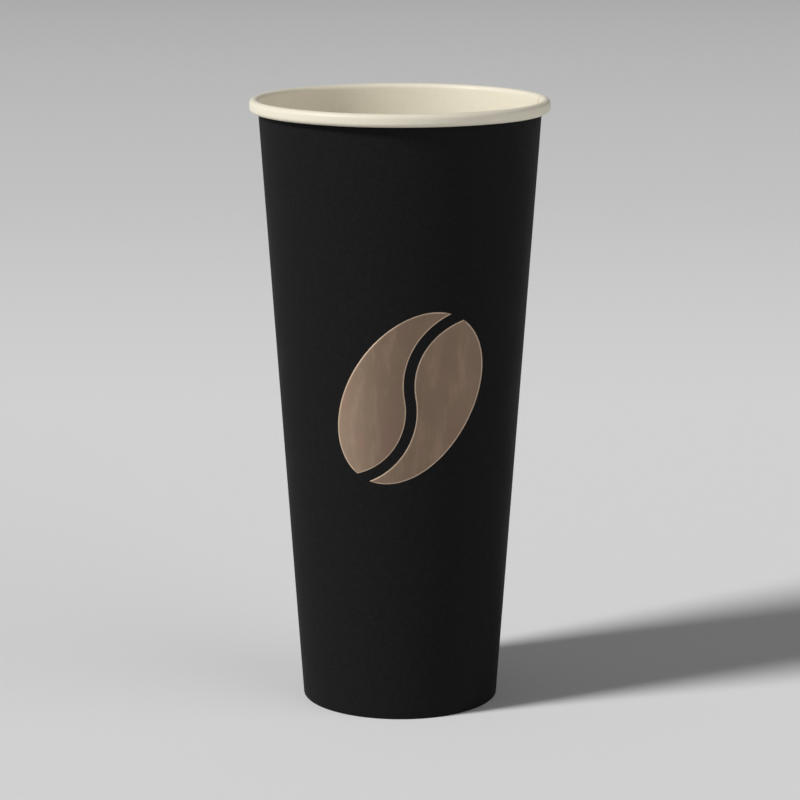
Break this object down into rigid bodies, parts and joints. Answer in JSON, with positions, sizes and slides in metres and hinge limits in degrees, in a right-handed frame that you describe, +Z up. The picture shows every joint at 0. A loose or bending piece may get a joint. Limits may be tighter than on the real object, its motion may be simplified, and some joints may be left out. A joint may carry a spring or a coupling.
{
  "type": "paper coffee cup",
  "caption": "Tall tapered single-wall paper cup with an open top, a rolled rim, a lapped side seam, a recessed bottom held in a folded hem, and a foil bean print.",
  "frame": {"origin": "on the cup's axis, in the plane that it stands on", "axes": "+Z up along the cup's axis, out of its open mouth; -Y is the side with the foil print, and the glued side seam is 16 degrees round from +X towards +Y"},
  "size_m": [0.09, 0.09, 0.1845],
  "materials": {
    "black_board": "matte",
    "cream_board": "satin",
    "bronze_foil": "satin"
  },
  "bodies": {
    "root": {"sidewall": "black_board", "bottom": "cream_board", "foil_left_half": "bronze_foil", "foil_right_half": "bronze_foil"}
  },
  "joints": []
}
